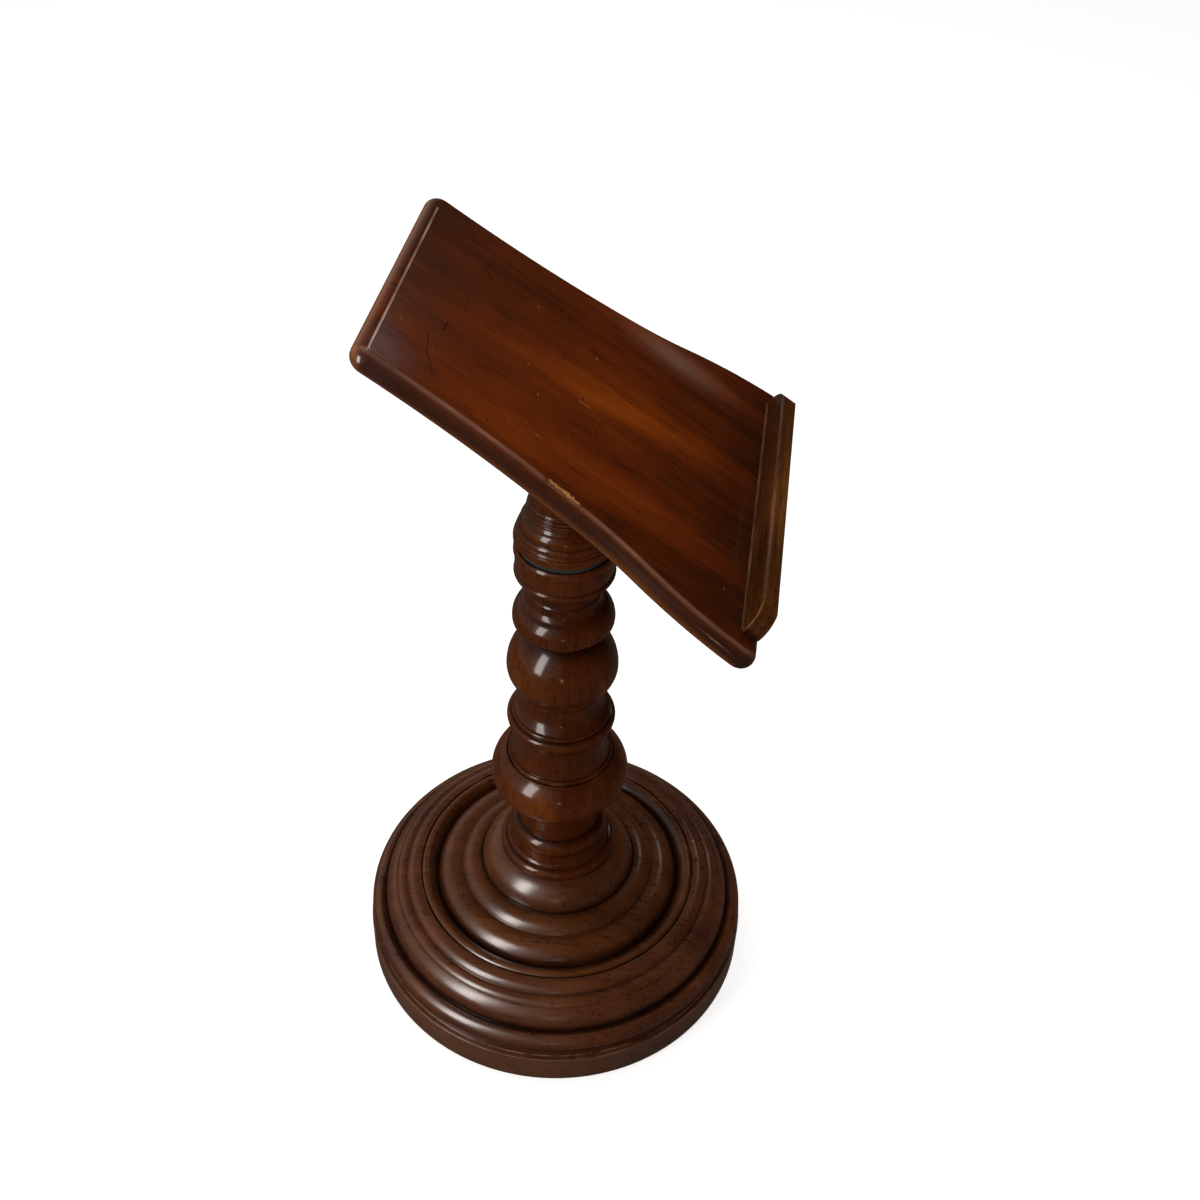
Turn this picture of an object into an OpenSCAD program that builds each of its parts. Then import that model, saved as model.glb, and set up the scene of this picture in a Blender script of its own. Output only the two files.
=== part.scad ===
// Tabletop pedestal book stand: round moulded base, turned column and a
// sloping board with a ledge that turns on top of the column.
// Units are millimetres. Z is up, X runs along the ledge, the reader sits on
// the -Y side. The origin is the centre of the underside.

/* [Base] */
// Diameter of the base
base_d = 220; // [180:1:260]
// Thickness of the baize pad
felt_t = 2; // [1:0.5:4]
// Inset of the baize pad from the edge of the base
felt_inset = 8; // [4:1:16]
// Thickness of the bottom disc
plinth_t = 18.4; // [14:0.2:24]
// Height of the hollow above the bottom disc
hollow_h = 9.4; // [7:0.2:13]
// Depth of the hollow above the bottom disc
hollow_in = 2.6; // [2:0.2:4]
// Height of the edge bead
edge_bead_h = 6.5; // [5:0.1:10]
// Width of the edge bead
edge_bead_w = 4.9; // [4:0.1:7]
// Width of the crease behind the edge bead
crease_w = 3.9; // [3:0.1:5]
// Drop of the crease behind the edge bead
crease_drop = 2.1; // [1:0.1:4]
// Width of the broad round
round_w = 6.1; // [5:0.1:8]
// Height of the broad round
round_h = 13; // [10:0.2:16]
// Width of the outer small bead
bead_a_w = 6.2; // [5:0.1:8]
// Rise of the outer small bead
bead_a_h = 3; // [2:0.1:4]
// Width of the inner small bead
bead_b_w = 8.1; // [6:0.1:10]
// Rise of the inner small bead
bead_b_h = 3.8; // [2.5:0.1:5]
// Half width of the fine groove at the joint of ring and dish
groove_w = 0.5; // [0.3:0.1:1.5]
// Depth of the fine groove
groove_d = 1.4; // [0.8:0.1:3]

/* [Dish] */
// Width of the lip around the dish
lip_w = 4.3; // [3:0.1:6]
// Width of the slope inside the lip
lip_slope_w = 4.6; // [3:0.1:6]
// Drop of the slope inside the lip
lip_drop = 6.1; // [4:0.1:8]
// Width of the big roll
roll_w = 14.7; // [11:0.1:18]
// Rise of the big roll
roll_h = 10.5; // [8:0.1:13]
// Width of the ridge bead
ridge_w = 10.4; // [8:0.1:13]
// Rise of the ridge bead
ridge_h = 5.5; // [4:0.1:8]
// Width of the crease inside the ridge bead
inner_crease_w = 1.2; // [0.8:0.1:2]
// Rise of the inner roll up to the column
rise_h = 15.6; // [12:0.2:20]
// Height of the socket floor for the dish above the bottom disc
socket_floor = 13.6; // [10:0.2:18]

/* [Column] */
// Radius of the lowest bead where the column stands on the dish
stack_r = 33; // [28:0.2:38]
// Height of the lowest bead
stack_a_h = 5.3; // [4:0.1:7]
// Height of the fillet above it
stack_b_h = 7.2; // [5:0.1:10]
// Height of the second bead
stack_c_h = 10.2; // [8:0.1:13]
// Radius of the lower neck
neck_r = 22.3; // [20:0.1:26]
// Height of the lower neck
neck_h = 25.4; // [20:0.2:32]
// Radius of the big bead
big_r = 37.4; // [33:0.2:42]
// Height of the lower part of the big bead
big_low_h = 12; // [9:0.2:15]
// Height of the upper part of the big bead
big_up_h = 15.3; // [12:0.1:19]
// Radius at the top of the big bead
big_top_r = 29.3; // [26:0.1:32]
// Radius at the waist of the vase
vase_r = 25.2; // [22:0.1:28]
// Height of the vase
vase_h = 24.9; // [20:0.1:30]
// Radius of the thin disc
disc_r = 28.4; // [26:0.1:32]
// Height of the thin disc
disc_h = 8.3; // [6:0.1:11]
// Radius of the middle neck
mid_neck_r = 20.6; // [18:0.1:24]
// Height of the middle neck
mid_neck_h = 19.5; // [15:0.1:24]
// Radius of the ball
ball_r = 28.9; // [26:0.1:32]
// Height of the lower half of the ball
ball_low_h = 12; // [9:0.1:15]
// Height of the upper half of the ball
ball_up_h = 23; // [18:0.2:27]
// Radius at the top of the ball
ball_top_r = 17; // [16:0.1:20]
// Radius of the upper disc
cap_r = 25.8; // [23:0.1:29]
// Height of the cup under the upper disc
cap_cup_h = 9; // [7:0.1:12]
// Height of the upper disc
cap_h = 10.2; // [8:0.1:13]
// Radius of the hollow neck under the bowl
high_neck_r = 18.2; // [17:0.1:20]
// Height of the hollow neck under the bowl
high_neck_h = 20; // [16:0.2:24]
// Radius of the bowl at its rim bead
bowl_r = 24.9; // [22:0.1:28]
// Height of the bowl
bowl_h = 12.7; // [10:0.1:16]
// Radius of the thin collar
collar_r = 25; // [22:0.1:28]
// Height of the thin collar
collar_h = 4.2; // [3:0.1:6]

/* [Head] */
// Height of the dark gap between column and head
gap_h = 4; // [3:0.1:6]
// Radius of the head
head_r = 25.3; // [22:0.1:28]
// Height of the edge disc of the head
head_edge_h = 5.6; // [4:0.1:8]
// Height of the dome of the head
dome_h = 9; // [7:0.1:12]
// Radius at the top of the dome
dome_top_r = 19.6; // [18:0.1:22]
// Radius of the neck below the board
head_neck_r = 16.8; // [15:0.1:20]
// Distance between the fine rings at the foot of the neck
fine_pitch = 1.8; // [1.7:0.1:2.2]
// Radius of the pad that carries the board
head_pad_r = 22; // [19:0.1:26]
// Height of the top face of the board above the table, at the axis
board_z = 390.6; // [370:0.2:410]
// Slope of the board in degrees
tilt = 33.2; // [20:0.2:45]

/* [Board] */
// Thickness of the board
board_t = 11; // [9:0.5:16]
// Width of the board at the lower end
board_w = 199; // [160:0.2:240]
// Distance from the axis down to the lower end, along the slope
board_down = 115.6; // [90:0.2:130]
// Distance from the axis up to the upper end, along the slope
board_up = 89; // [70:0.5:110]
// Length of the lower swell of each side
swell_len = 62.2; // [45:0.1:70]
// Length of the hollow of each side
sweep_len = 53.3; // [40:0.1:65]
// Radius of the corners, inside the rounded edge
corner_r = 2; // [1:0.5:4]
// Direction of the side at the lower end, degrees
side_a = 7.5; // [5:0.1:10]
// Direction of the side between swell and hollow, degrees
side_b = 17.3; // [14:0.1:20]
// Direction of the side at the end of the hollow, degrees
side_c = 7.2; // [5:0.1:9]

/* [Ledge] */
// Thickness of the ledge
ledge_t = 8.4; // [6:0.1:11]
// Distance from the lower end of the board to the ledge
ledge_inset = 2.3; // [0:0.1:5]
// Height of the ledge above the board
ledge_h = 13.1; // [9:0.1:18]
// Length of the ledge
ledge_len = 171.2; // [130:0.2:190]
// Radius of the rounded upper corners of the ledge
ledge_corner = 11; // [6:0.5:12]
// Radius of the rounded long edges of the ledge
ledge_round = 1.4; // [1:0.1:3]

/* [Fastenings] */
// Diameter of the tie rod and of the swivel bolt
rod_d = 10; // [8:0.5:12]
// Width across flats of the nut and of the bolt head
hex_w = 17; // [13:0.5:19]
// Height of the nut
nut_h = 8; // [6:0.5:10]
// Diameter of the pocket for the nut in the bottom disc
nut_pocket_d = 32; // [28:1:40]
// Depth of the pocket for the nut
nut_pocket_h = 12; // [10:0.5:13]
// Diameter of the tie washer
washer_d = 26; // [22:1:30]
// Thickness of the tie washer
washer_t = 2; // [1.5:0.5:3]
// Outer diameter of the threaded inserts
insert_d = 14; // [12:0.5:16]
// Length of the threaded inserts
insert_len = 18; // [12:1:22]
// Diameter of the round tenons between the turned pieces
tenon_d = 24; // [20:0.5:26]
// Length of the round tenons
tenon_len = 18; // [14:1:22]
// Length of the bearing bush
bush_len = 22; // [16:1:24]
// Outer diameter of the bearing bush
bush_d = 14; // [12.5:0.5:16]
// Radial running clearance of the bolt in the bush
run_fit = 0.05; // [0.02:0.01:0.1]
// Height of the bolt head
bolt_head_h = 7; // [6:0.5:8]
// Thickness of the spring washer
spring_t = 1.5; // [1:0.1:2]
// Outer diameter of the spring washer
spring_d = 19; // [17:0.5:21]
// Radial clearance between glued or fixed pieces
glue_gap = 0.15; // [0.05:0.05:0.3]
// Number of screws between bottom disc and ring
base_screw_n = 4; // [3:1:6]
// Radius of the circle of base screws
base_screw_r = 90; // [84:1:94]
// Diameter of the base screws
base_screw_d = 5; // [4:0.5:6]
// Length of the base screws
base_screw_len = 34; // [26:1:38]
// Diameter of the dowels between head and board
dowel_d = 8; // [6:0.5:10]
// Distance of each dowel from the axis
dowel_x = 12; // [11:0.5:13]
// Shift of the dowels down the slope
dowel_shift = 6; // [3:0.5:8]
// Depth of the dowels in the board
dowel_up = 7; // [5:0.5:8]
// Depth of the dowels in the head
dowel_down = 16; // [12:1:20]
// Diameter of the ledge screws
ledge_screw_d = 2.6; // [2:0.1:3]
// Distance between the ledge screws
ledge_screw_pitch = 62; // [45:1:70]
// Length of the ledge screws above the board
ledge_screw_up = 9; // [6:0.5:11]

/* [Parts] */
// Part to show

/* [Hidden] */
$fn = 96;
far = 400;
// Width of the flat at the bottom of a turned crease
flat = 0.25;
// Largest turn between two points of a turned arc, degrees
arc_step = 6;

// Radii across the base, from the rim inwards
base_r = base_d / 2;
edge_r = base_r - 0.9;
crest_r = edge_r - edge_bead_w;
crease_r = crest_r - crease_w;
round_r = crease_r - round_w;
bead_a_r = round_r - bead_a_w;
bead_b_r = bead_a_r - bead_b_w;
groove_r = bead_b_r - groove_w;
lip_r = groove_r - groove_w;
lip_in_r = lip_r - lip_w;
lip_low_r = lip_in_r - lip_slope_w;
roll_r = lip_low_r - roll_w;
ridge_r = roll_r - ridge_w;
dish_r = ridge_r - inner_crease_w;

// Heights across the base, from the table upwards
z_plinth = felt_t + plinth_t;
z_edge = z_plinth + hollow_h;
z_crest = z_edge + edge_bead_h;
z_crease = z_crest - crease_drop;
z_round = z_crease + round_h;
z_bead_a = z_round + bead_a_h;
z_bead_b = z_bead_a + bead_b_h;
z_groove = z_bead_b - groove_d;
z_lip = z_bead_b + 0.3;
z_lip_low = z_lip - lip_drop;
z_roll = z_lip_low + roll_h;
z_ridge = z_roll + ridge_h;
z_dish = z_ridge - 0.9;
z_foot = z_dish + rise_h;
z_socket = z_plinth + socket_floor;

// Heights of the column
z_stack_a = z_foot + stack_a_h;
z_stack_b = z_stack_a + stack_b_h;
z_stack_c = z_stack_b + stack_c_h;
z_neck = z_stack_c + neck_h;
z_big = z_neck + big_low_h;
z_middle = z_big + big_up_h;
z_vase = z_middle + vase_h;
z_disc = z_vase + disc_h;
z_ball_low = z_disc + mid_neck_h;
z_ball = z_ball_low + ball_low_h;
z_top = z_ball + ball_up_h;
z_cap = z_top + cap_cup_h;
z_cap_up = z_cap + cap_h;
z_bowl = z_cap_up + high_neck_h;
z_bowl_up = z_bowl + bowl_h;
z_collar = z_bowl_up + collar_h;
z_head = z_collar + gap_h;
z_head_edge = z_head + head_edge_h;
z_dome = z_head_edge + dome_h;

// How far each fine ring of the head stands out from the neck
fine_out = [2.1, 2.4, 2, 1.5];

// Fastening heights
z_nut_pocket = felt_t + nut_pocket_h;
z_nut = z_nut_pocket - washer_t - nut_h;
z_spigot = z_top + tenon_len - 2;
z_bush = z_collar - bush_len;
z_bolt_head = z_bush - spring_t;
z_insert = z_head + 4;
rod_r = rod_d / 2;
hole_r = rod_r + 0.4;

// Bulge of an arc that leaves the wider end parallel to the axis, as a share
// of its chord
function upright(dr, dz) = tan(atan(abs(dr / dz)) / 2) / 2;

// Points of an arc that runs from a towards b and bulges outwards by k chords,
// or inwards where k is negative, without b itself
function arc(a, b, k) =
    let (d = b - a, n = [d[1], -d[0]] * sign(k) / norm(d), h = 2 * atan(2 * abs(k)),
        r = norm(d) / 2 / sin(h), o = (a + b) / 2 - n * r * cos(h),
        m = ceil(2 * h / arc_step))
    [for (i = [0 : m - 1])
        let (w = mixed(-h, h, i, m))
            o + r * (n * cos(w) + d / norm(d) * sin(w))];

// Turned solid from outline points [radius, height, bulge to the next point],
// listed from the foot upwards along the outside
module turned(p)
{
    w = len(p) - 1;
    q = [for (i = p) [i[0], i[1]]];
    line = [for (i = [0 : w - 1])
        for (j = p[i][2] == 0 ? [q[i]] : arc(q[i], q[i + 1], p[i][2])) j];
    rotate_extrude()
        polygon(concat([[0, q[0][1]]], line, [q[w], [0, q[w][1]]]));
}

// Upright bore from height a to height b
module bore(r, a, b)
{
    translate([0, 0, a])
        cylinder(r = r, h = b - a);
}

// Round plate with a hole
module ring(r, hole, a, b)
{
    difference()
    {
        bore(r, a, b);
        bore(hole, a - 1, b + 1);
    }
}

// Places children in the frame of the board: Y up the slope, Z off its face
module on_board()
{
    translate([0, 0, board_z])
        rotate([tilt, 0, 0])
            children();
}

// Baize pad with an opening that gives access to the nut
module felt_pad()
{
    color("darkolivegreen")
        ring(base_r - felt_inset, nut_pocket_d / 2 + 2, 0, felt_t);
}

// Bottom disc with nut pocket and screw holes
module base_plinth()
{
    e = 0.5;
    color("sienna")
        difference()
        {
            turned([[base_r - e, felt_t, 0.2], [base_r, felt_t + e, 0],
                [base_r, z_plinth - e, 0.2], [base_r - e, z_plinth, 0]]);
            bore(nut_pocket_d / 2, 0, z_nut_pocket);
            bore(hole_r, 0, far);
            screw_circle(base_screw_d / 2 + glue_gap, base_screw_d + 0.3);
        }
}

// Ring with the edge bead, the broad round and the two small beads
module base_moulding()
{
    color("sienna")
        difference()
        {
            turned([[base_r - hollow_in, z_plinth, -0.17], [edge_r, z_edge, 0.16],
                [crest_r, z_crest, 0.08], [crease_r + flat, z_crease, 0],
                [crease_r, z_crease, 0.17], [round_r + flat, z_round, 0],
                [round_r, z_round, 0.2], [bead_a_r + flat, z_bead_a, 0],
                [bead_a_r, z_bead_a, 0.2], [bead_b_r, z_bead_b, 0],
                [groove_r + 0.2, z_groove, 0], [groove_r - 2, z_groove, 0]]);
            bore(groove_r, z_socket, far);
            bore(hole_r, 0, far);
            screw_circle(base_screw_d / 2, base_screw_d / 2);
        }
}

// Inner dish that stands in the ring, with its lip, rolls and ridge
module base_boss()
{
    color("sienna")
        difference()
        {
            turned([[groove_r - glue_gap, z_socket, 0],
                [groove_r - glue_gap, z_groove, 0], [lip_r, z_bead_b, 0.22],
                [lip_in_r, z_lip, 0.1], [lip_low_r, z_lip_low, 0.24],
                [roll_r, z_roll, 0.16], [ridge_r, z_ridge, 0],
                [dish_r, z_dish, 0.14], [stack_r - 0.4, z_foot, 0]]);
            bore(tenon_d / 2 + glue_gap, z_foot - tenon_len - 1, far);
            bore(hole_r, 0, far);
        }
}

// One screw shape at each place of the base screw circle
module screw_circle(r, head_r)
{
    for (i = [0 : base_screw_n - 1])
        rotate([0, 0, 45 + i * 360 / base_screw_n])
            translate([base_screw_r, 0, felt_t])
            {
                cylinder(r = r, h = base_screw_len + 0.5);
                if (head_r > r)
                    cylinder(r1 = head_r, r2 = r, h = head_r - r);
            }
}

// Countersunk screws that hold the bottom disc to the ring
module base_screws()
{
    s = base_screw_d;
    color("silver")
        for (i = [0 : base_screw_n - 1])
            rotate([0, 0, 45 + i * 360 / base_screw_n])
                translate([base_screw_r, 0, felt_t + 0.3])
                    difference()
                    {
                        union()
                        {
                            cylinder(r = s / 2 - 0.05, h = base_screw_len - 4);
                            cylinder(r1 = s, r2 = s / 2 - 0.05, h = s / 2);
                            translate([0, 0, base_screw_len - 4])
                                cylinder(r1 = s / 2 - 0.05, r2 = 0.4, h = 3.5);
                        }
                        translate([-0.5, -s, -1])
                            cube([1, 2 * s, 1.9]);
                    }
}

// Long rod that pulls base and column together
module tie_rod()
{
    a = z_nut - 1;
    b = z_spigot - 3;
    color("silver")
        turned([[rod_r - 0.8, a, 0], [rod_r, a + 0.8, 0],
            [rod_r, b - 0.8, 0], [rod_r - 0.8, b, 0]]);
}

// Washer between nut and bottom disc
module tie_washer()
{
    color("silver")
        ring(washer_d / 2, rod_r + 0.4, z_nut_pocket - washer_t, z_nut_pocket);
}

// Hexagon block with turned corners, from height a to height b
module hex_block(a, b)
{
    intersection()
    {
        translate([0, 0, a])
            cylinder(r = hex_w / 2 / cos(30), h = b - a, $fn = 6);
        turned([[hex_w / 2, a, 0], [hex_w / 2 + 1.5, a + 0.9, 0],
            [hex_w / 2 + 1.5, b - 0.9, 0], [hex_w / 2, b, 0]]);
    }
}

// Nut in the pocket of the bottom disc
module tie_nut()
{
    color("silver")
        difference()
        {
            hex_block(z_nut, z_nut + nut_h);
            bore(rod_r + 0.02, 0, far);
        }
}

// Threaded sleeve with two outer collars, from height a upwards
module insert(a)
{
    r = insert_d / 2;
    difference()
    {
        union()
        {
            bore(r - 0.8, a, a + insert_len);
            bore(r, a + 1, a + insert_len * 0.4);
            bore(r, a + insert_len * 0.55, a + insert_len - 1);
        }
        bore(rod_r + 0.02, a - 1, a + insert_len + 1);
    }
}

// Threaded insert in the tenon of the middle column
module rod_insert()
{
    color("goldenrod")
        insert(z_spigot - insert_len);
}

// Bead stack, lower neck and big bead, with the tenon into the dish
module column_foot()
{
    r = stack_r;
    t = tenon_d / 2;
    color("sienna")
        difference()
        {
            turned([[t - 1, z_foot - tenon_len, 0], [t, z_foot - tenon_len + 1, 0],
                [t, z_foot, 0], [r - 0.6, z_foot, 0.24],
                [r - 3.9, z_stack_a, -0.1], [r - 6, z_stack_a + 2.2, 0],
                [r - 7, z_stack_b, 0.26], [neck_r + 0.1, z_stack_c, -0.05],
                [neck_r + 1.3, z_neck - 6, -0.12], [neck_r + 5.1, z_neck, upright(big_r - neck_r - 5.1, big_low_h)],
                [big_r, z_big, upright(big_r - big_top_r, big_up_h)],
                [big_top_r, z_middle, 0]]);
            bore(t + glue_gap, z_middle - tenon_len - 1, far);
            bore(hole_r, 0, far);
        }
}

// Vase, thin disc and ball, with a tenon at each end
module column_middle()
{
    t = tenon_d / 2;
    color("sienna")
        difference()
        {
            turned([[t - 1, z_middle - tenon_len, 0],
                [t, z_middle - tenon_len + 1, 0], [t, z_middle, 0],
                [big_top_r - 1, z_middle, 0.1], [big_top_r - 1.6, z_middle + 1.8, 0],
                [big_top_r - 2.6, z_middle + 2.2, -0.05],
                [vase_r, z_vase - 8, -0.1], [disc_r - 1.4, z_vase - 0.8, 0.2],
                [disc_r, z_vase + 1.4, 0.27], [disc_r - 2.2, z_disc - 2.6, 0],
                [disc_r - 2.6, z_disc - 2.4, 0.3], [disc_r - 3.3, z_disc - 0.4, 0],
                [disc_r - 4, z_disc, -0.16], [mid_neck_r, z_ball_low - 4, -0.1],
                [mid_neck_r + 1, z_ball_low, upright(ball_r - mid_neck_r - 1, ball_low_h)],
                [ball_r, z_ball, upright(ball_r - ball_top_r, ball_up_h)],
                [ball_top_r, z_top, 0], [t, z_top, 0],
                [t, z_spigot - 1, 0], [t - 1, z_spigot, 0]]);
            bore(insert_d / 2 + 0.05, z_spigot - insert_len - 1, far);
            bore(hole_r, 0, far);
        }
}

// Upper disc, hollow neck, bowl and thin collar, hollow for the bolt head
module column_top()
{
    t = tenon_d / 2;
    color("sienna")
        difference()
        {
            turned([[ball_top_r + 0.4, z_top, -0.2], [cap_r - 0.8, z_cap - 0.8, 0.2],
                [cap_r, z_cap, 0.13], [cap_r - 4, z_cap_up, 0],
                [cap_r - 4.6, z_cap_up + 0.4, -0.17],
                [high_neck_r, z_bowl - 12, 0], [high_neck_r - 0.6, z_bowl - 11.2, -0.2],
                [bowl_r - 1.5, z_bowl - 0.5, 0.4], [bowl_r - 0.8, z_bowl + 2.8, 0],
                [bowl_r - 0.8, z_bowl + 3, 0.05], [collar_r - 0.9, z_bowl_up, 0],
                [collar_r, z_bowl_up, 0.14], [collar_r - 0.6, z_collar - 0.5, 0.2],
                [collar_r - 1.1, z_collar, 0]]);
            bore(t + glue_gap, z_top - 1, z_bush);
            bore(bush_d / 2 + 0.03, 0, far);
        }
}

// Bearing sleeve for the swivel bolt
module swivel_bush()
{
    color("goldenrod")
        ring(bush_d / 2, rod_r + run_fit, z_bush, z_collar);
}

// Thrust washer in the gap between column and head
module swivel_washer()
{
    color("black")
        ring(head_r - 2.4, rod_r + 0.6, z_collar, z_head);
}

// Spring washer between the bolt head and the roof of its pocket
module spring_washer()
{
    color("silver")
        ring(spring_d / 2, rod_r + 0.3, z_bolt_head, z_bush);
}

// Bolt that joins the head to the column and lets it turn
module swivel_bolt()
{
    b = z_insert + insert_len - 2;
    color("silver")
        union()
        {
            hex_block(z_bolt_head - bolt_head_h, z_bolt_head);
            turned([[rod_r, z_bolt_head - 1, 0], [rod_r, b - 0.8, 0],
                [rod_r - 0.8, b, 0]]);
        }
}

// Threaded insert in the head
module head_insert()
{
    color("goldenrod")
        insert(z_insert);
}

// Turned dome and neck, cut to the slope under the board
module head()
{
    r = head_neck_r;
    p = board_z - board_t / cos(tilt) - head_pad_r * tan(tilt) - 9;
    color("sienna")
        difference()
        {
            turned(concat([[head_r - 0.5, z_head, 0.2], [head_r, z_head + 0.7, 0.06],
                [head_r - 0.5, z_head + 3.6, 0], [head_r - 1, z_head + 3.8, 0.2],
                [head_r - 1.2, z_head_edge - 0.4, 0],
                [head_r - 1.6, z_head_edge, 0.12],
                [head_r - 2.5, z_head_edge + 2.9, 0],
                [head_r - 3, z_head_edge + 3.1, 0.14], [dome_top_r, z_dome, 0]],
                [for (i = [0 : 3], j = [[-0.4, 0], [0, 0.4], [0, 1.3], [-0.4, 1.6]])
                    [r + fine_out[i] + j[0], z_dome + 1.5 + i * fine_pitch + j[1], 0]],
                [[r + 0.9, z_dome + 8.9, -0.02], [r, z_dome + 28, -0.14],
                [head_pad_r - 2, p, 0.35], [head_pad_r - 1.4, p + 4, 0],
                [head_pad_r, p + 5, 0], [head_pad_r, board_z + 20, 0]]));
            bore(insert_d / 2 + 0.05, z_head - 1, z_insert + insert_len + 2);
            on_board()
                translate([-far / 2, -far / 2, -board_t])
                    cube([far, far, far]);
            on_board()
                for (i = [-1, 1])
                    translate([i * dowel_x, -dowel_shift, -board_t - dowel_down - 0.5])
                        cylinder(r = dowel_d / 2 + 0.02, h = far);
        }
}

// Dowels between head and board
module head_dowels()
{
    color("burlywood")
        on_board()
            for (i = [-1, 1])
                translate([i * dowel_x, -dowel_shift, -board_t])
                    turned([[dowel_d / 2 - 0.8, -dowel_down, 0],
                        [dowel_d / 2, 0.8 - dowel_down, 0],
                        [dowel_d / 2, dowel_up - 0.8, 0],
                        [dowel_d / 2 - 0.8, dowel_up, 0]]);
}

// Side of the board: a swell and two hollows along the centre line of its
// rounded edge, each between two directions of the edge
edge = board_t / 2;
y_low = edge + corner_r * (1 + sin(side_a)) - board_down;
y_high = board_up - edge - corner_r;
last_len = y_high - y_low - swell_len - sweep_len;
r_swell = swell_len / (sin(side_b) - sin(side_a));
r_sweep = sweep_len / (sin(side_b) - sin(side_c));
r_last = last_len / sin(side_c);
p_a = [board_w / 2 - edge, y_low];
p_b = p_a + r_swell * (way(side_b) - way(side_a));
p_c = p_b + r_sweep * (way(side_b) - way(side_c));
p_d = p_c + r_last * (way(side_c) - way(0));

function way(a) = [cos(a), sin(a)];
function mixed(a, b, i, n) = a + (b - a) * i / n;
function steps(a, b, n) = [for (i = [0 : n - 1]) mixed(a, b, i, n)];
function flipped(v) = [for (i = [len(v) - 1 : -1 : 0])
    [[-v[i][0][0], v[i][0][1]], 180 - v[i][1]]];

// Stations [point, outward direction] along one side, from the lower end up
side_line = concat(
    [for (w = steps(side_a, side_b, 9)) [p_a + r_swell * (way(w) - way(side_a)), w]],
    [for (w = steps(side_b, side_c, 9)) [p_b + r_sweep * (way(side_b) - way(w)), w]],
    [for (w = steps(side_c, 0, 8)) [p_c + r_last * (way(side_c) - way(w)), w]],
    [[p_d, 0]]);

// Stations round a corner, without its two ends
function corner(c, a, b, n) = [for (i = [1 : n - 1])
    [c + corner_r * way(mixed(a, b, i, n)), mixed(a, b, i, n)]];

high_c = p_d - [corner_r, 0];
low_c = p_a - corner_r * way(side_a);
stations = concat(side_line,
    corner(high_c, 0, 90, 6), [[high_c + [0, corner_r], 90]],
    [[[-high_c[0], high_c[1] + corner_r], 90]],
    corner([-high_c[0], high_c[1]], 90, 180, 6), flipped(side_line),
    corner([-low_c[0], low_c[1]], 180 - side_a, 270, 6),
    [[[-low_c[0], low_c[1] - corner_r], 270]],
    [[[low_c[0], low_c[1] - corner_r], 270]],
    corner(low_c, 270, 360 + side_a, 6));

// Solid slab whose edge is a half round along the closed line of stations
module round_edged(v, e, m)
{
    n = len(v);
    pts = [for (s = v, j = [0 : m])
        let (f = -90 + 180 * j / m, o = abs(cos(f)) < 0.001 ? 0 : e * cos(f))
            [s[0][0] + o * cos(s[1]), s[0][1] + o * sin(s[1]), e * sin(f) - e]];
    sides = [for (i = [0 : n - 1], j = [0 : m - 1], h = [0, 1])
        let (a = i * (m + 1) + j, b = ((i + 1) % n) * (m + 1) + j)
            h == 0 ? [a, a + 1, b + 1] : [a, b + 1, b]];
    lower = [for (i = [0 : n - 1]) i * (m + 1)];
    upper = [for (i = [n - 1 : -1 : 0]) i * (m + 1) + m];
    polyhedron(points = pts, faces = concat(sides, [lower], [upper]), convexity = 4);
}

// Shaped board with a half-round edge all the way round
module board()
{
    color("chocolate")
        on_board()
            difference()
            {
                round_edged(stations, edge, 12);
                for (i = [-1, 1])
                    translate([i * dowel_x, -dowel_shift, -far])
                        cylinder(r = dowel_d / 2 + 0.02, h = far - board_t + dowel_up + 0.5);
                for (i = [-1 : 1])
                    translate([i * ledge_screw_pitch, y_screw, -board_t - 1])
                    {
                        cylinder(r = ledge_screw_d / 2 + 0.02, h = far);
                        cylinder(r = ledge_screw_d + 0.2, h = 3);
                    }
            }
}

y_ledge = ledge_inset - board_down;
y_screw = y_ledge + ledge_t * 0.6;

// Low rail along the lower end of the board
module ledge()
{
    w = ledge_len / 2;
    c = ledge_corner;
    e = ledge_round;
    color("chocolate")
        on_board()
            difference()
            {
                intersection()
                {
                    translate([0, y_ledge + ledge_t, 0])
                        rotate([90, 0, 0])
                            linear_extrude(height = ledge_t)
                            {
                                translate([-w, 0])
                                    square([2 * w, ledge_h - c]);
                                translate([c - w, 0])
                                    square([2 * w - 2 * c, ledge_h]);
                                for (i = [-1, 1])
                                    translate([i * (w - c), ledge_h - c])
                                        circle(r = c);
                            }
                    translate([-w - 1, y_ledge, 0])
                        rotate([90, 0, 90])
                            linear_extrude(height = 2 * w + 2)
                            {
                                square([ledge_t, ledge_h - e]);
                                translate([e, 0])
                                    square([ledge_t - 2 * e, ledge_h]);
                                for (i = [e, ledge_t - e])
                                    translate([i, ledge_h - e])
                                        circle(r = e, $fn = 48);
                            }
                }
                for (i = [-1 : 1])
                    translate([i * ledge_screw_pitch, y_screw, -1])
                        cylinder(r = ledge_screw_d / 2 + 0.02, h = ledge_screw_up + 1.5);
            }
}

// Screws from below the board into the ledge
module ledge_screws()
{
    r = ledge_screw_d / 2;
    z = 1.9 - board_t;
    color("silver")
        on_board()
            for (i = [-1 : 1])
                translate([i * ledge_screw_pitch, y_screw, 0])
                    difference()
                    {
                        turned([[2 * r, z - 0.6, 0], [2 * r, z + 0.1, 0],
                            [r, z + 0.1, 0], [r, ledge_screw_up - 2, 0],
                            [0.3, ledge_screw_up, 0]]);
                        translate([-0.35, -3 * r, z - 1.2])
                            cube([0.7, 6 * r, 1]);
                    }
}

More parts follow.
